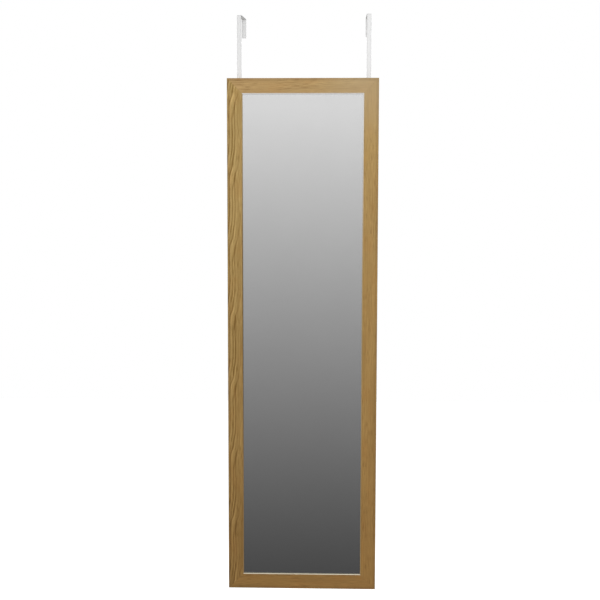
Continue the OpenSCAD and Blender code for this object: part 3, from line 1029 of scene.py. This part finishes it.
# %% [markdown]
# ## The backing board
#
# Nobody sees the back in the photograph, but everyone who hangs the mirror does. The board is
# hardboard with its rough side out, which carries the weave of the screen that it was pressed on.
# Cutting that weave into the mesh would take a million faces, and two sine waves at right angles
# give it as relief, with painted shade in its hollows. Pale fibres and clouds of brown lie over
# it.

# %% Hardboard
SCREEN_PITCH = 1.7 * MM
SCREEN_DEPTH = 0.15 * MM
WEAVE_RELIEF = -0.5
HARDBOARD_ROUGHNESS = (0.62, 0.8)
BROWNS = ((0.18, 0.10, 0.048), (0.24, 0.137, 0.068))
# Where pale fibres and the painted shade in the hollows begin and are full, how strong they are,
# and their colours
PALE_FIBRES = (0.45, 0.75)
PALE_FIBRE_SHARE = 0.6
PALE_FIBRE = (0.36, 0.24, 0.13)
HOLLOW_SHADE_RANGE = (0.2, 0.9)
HOLLOW_SHADE_SHARE = 0.35
HOLLOW_PAINTED_SHADE = (0.09, 0.05, 0.025)


def hardboard():
    """Brown hardboard with the weave of its screen."""
    material, tree, output = new_material("hardboard")
    place = object_place(tree)
    axes = axes_of(tree, place)
    waves = []
    for axis in ("X", "Z"):
        turns = math_node(tree, "MULTIPLY", axes[axis], 2 * math.pi / SCREEN_PITCH)
        waves.append(math_node(tree, "SINE", turns))
    weave = math_node(tree, "MULTIPLY", *waves)
    fibre = noise(tree, place, scale=420.0, detail=4.0, roughness=0.65)
    cloud = noise(tree, place, scale=22.0, detail=3.0)
    brown = tinted(tree, BROWNS[0], cloud, BROWNS[1])
    pale = ramp_between(tree, fibre, *PALE_FIBRES, 0.0, PALE_FIBRE_SHARE)
    brown = tinted(tree, brown, pale, PALE_FIBRE)
    # Painted shade in the hollows of the weave
    dark = ramp_between(tree, weave, *HOLLOW_SHADE_RANGE, 0.0, HOLLOW_SHADE_SHARE)
    brown = tinted(tree, brown, dark, HOLLOW_PAINTED_SHADE)
    height = math_node(tree, "MULTIPLY_ADD", weave, WEAVE_RELIEF, fibre)
    roughness = ramp_between(tree, fibre, *NOISE_RANGE, *HARDBOARD_ROUGHNESS, smooth=False)
    surface(tree, output, brown, roughness, bumped(tree, height, SCREEN_DEPTH))
    dress(material, "backing_board")


hardboard()

# %% [markdown]
# ## Nails, points and screws
#
# The points that hold the board are dull zinc, the nails across the mitres plain steel, and the
# screws bright zinc. A plain grey would pass from afar, but metal is told by its sheen, which
# rolling and plating leave cloudy. All three carry a thin film that scatters a little light, so
# their shader isn't wholly metallic: bare metal would show nothing but the dim room.

# %% Zinc and steel
FILMED_METAL = 0.8
ROLLING_DEPTH = 0.02 * MM


def metal(name, parts, dark, light, rough, grain):
    """A metal with wear on it: cloudy colour and roughness, and fine rolling marks."""
    material, tree, output = new_material(name)
    place = object_place(tree)
    cloud = noise(tree, place, scale=260.0, detail=3.0)
    colour = tinted(tree, dark, ramp_between(tree, cloud, *NOISE_RANGE), light)
    marks = noise(tree, place, scale=grain, detail=3.0, roughness=0.7)
    roughness = ramp_between(tree, marks, *NOISE_RANGE, *rough, smooth=False)
    relief = bumped(tree, marks, ROLLING_DEPTH)
    surface(tree, output, colour, roughness, relief, Metallic=FILMED_METAL)
    dress(material, *parts)


def named_like(ending):
    """The nodes whose names end like this."""
    return sorted(name for name in nodes if name.endswith(ending))


metal("bright_steel", named_like("_nails"), dark=(0.36, 0.35, 0.34), light=(0.52, 0.52, 0.52),
      rough=(0.35, 0.5), grain=2400.0)
metal("zinc_points", named_like("_points"), dark=(0.48, 0.48, 0.46), light=(0.62, 0.62, 0.60),
      rough=(0.40, 0.55), grain=1800.0)
metal("zinc_screws", named_like("_screws"), dark=(0.60, 0.58, 0.52), light=(0.74, 0.72, 0.66),
      rough=(0.24, 0.36), grain=3000.0)

# %% [markdown]
# ## The door bumpers
#
# Stick-on bumpers are milky, slightly see-through rubber with a soft sheen. A glass shader
# with a tint would be too clear and slow to render. A little scattering under the surface
# gives the milk, and fine noise keeps the sheen from looking like glass.

# %% Milky rubber
RUBBER_MILKS = ((0.66, 0.68, 0.67), (0.78, 0.80, 0.79))
RUBBER_ROUGHNESS = (0.32, 0.5)
MILK_WEIGHT = 0.35
MILK_DEPTH = 2 * MM
DUST_DEPTH = 0.03 * MM


def milky_rubber():
    """Milky rubber with a little dust on it."""
    material, tree, output = new_material("clear_rubber")
    place = object_place(tree)
    cloud = noise(tree, place, scale=300.0, detail=2.0)
    colour = tinted(tree, RUBBER_MILKS[0], cloud, RUBBER_MILKS[1])
    dust = noise(tree, place, scale=1500.0, detail=2.0)
    roughness = ramp_between(tree, dust, *NOISE_RANGE, *RUBBER_ROUGHNESS, smooth=False)
    surface(tree, output, colour, roughness, bumped(tree, dust, DUST_DEPTH),
            Subsurface_Weight=MILK_WEIGHT, Subsurface_Scale=MILK_DEPTH)
    dress(material, *named_like("_bumpers"))


milky_rubber()
